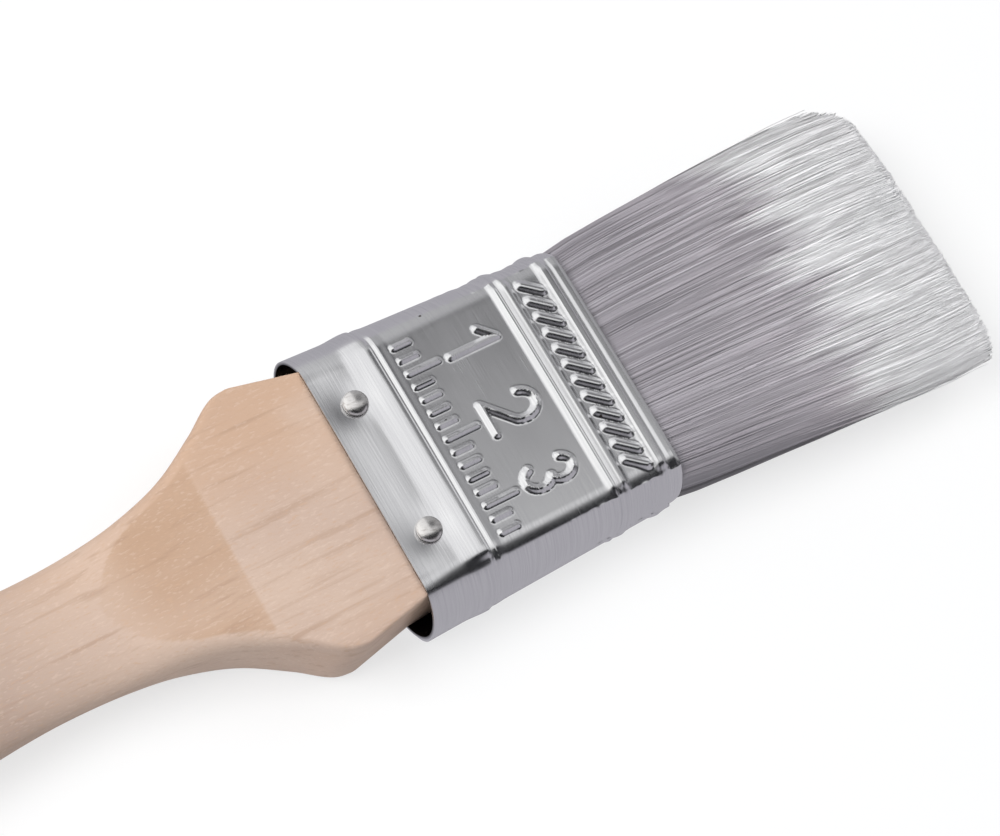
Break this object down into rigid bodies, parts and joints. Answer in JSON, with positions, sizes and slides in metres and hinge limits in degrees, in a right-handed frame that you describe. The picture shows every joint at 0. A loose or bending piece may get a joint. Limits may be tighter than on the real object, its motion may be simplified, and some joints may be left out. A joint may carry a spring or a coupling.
{
  "type": "flat trim paint brush",
  "caption": "Flat trim paint brush with a pale wooden handle, a beaded metal ferrule pinned by domed nails, and tapered synthetic filaments that flex at the ferrule.",
  "frame": {"origin": "centre of the bounding box's base, the surface the brush lies on", "axes": "+X along the brush towards the filament tips, +Y across its width, +Z out of its front face"},
  "size_m": [0.227, 0.0438, 0.0169],
  "materials": {
    "handle_wood": "bare sanded pale hardwood, fine grain",
    "ferrule_metal": "bright plated sheet, finely brushed",
    "nail_metal": "polished plated steel",
    "resin": "set amber resin",
    "spacer_wood": "raw softwood strip",
    "filament": "satin synthetic filament, grey root to whitish tip"
  },
  "bodies": {
    "body": {"handle": "handle_wood", "ferrule": "ferrule_metal", "nail_front_left": "nail_metal", "nail_front_right": "nail_metal", "nail_back_left": "nail_metal", "nail_back_right": "nail_metal", "resin_plug": "resin", "spacer_strip": "spacer_wood"},
    "filaments": {"filament_pack_front": "filament", "filament_pack_back": "filament"}
  },
  "joints": [
    {"name": "filament_flex", "type": "hinge", "parent": "body", "child": "filaments", "pos_m": [0.059, 0, 0.00847], "axis": [0, 1, 0], "range_deg": [-30, 30], "stiffness_Nm_per_rad": 0.3, "deforming": ["filament_pack_front", "filament_pack_back"]}
  ]
}
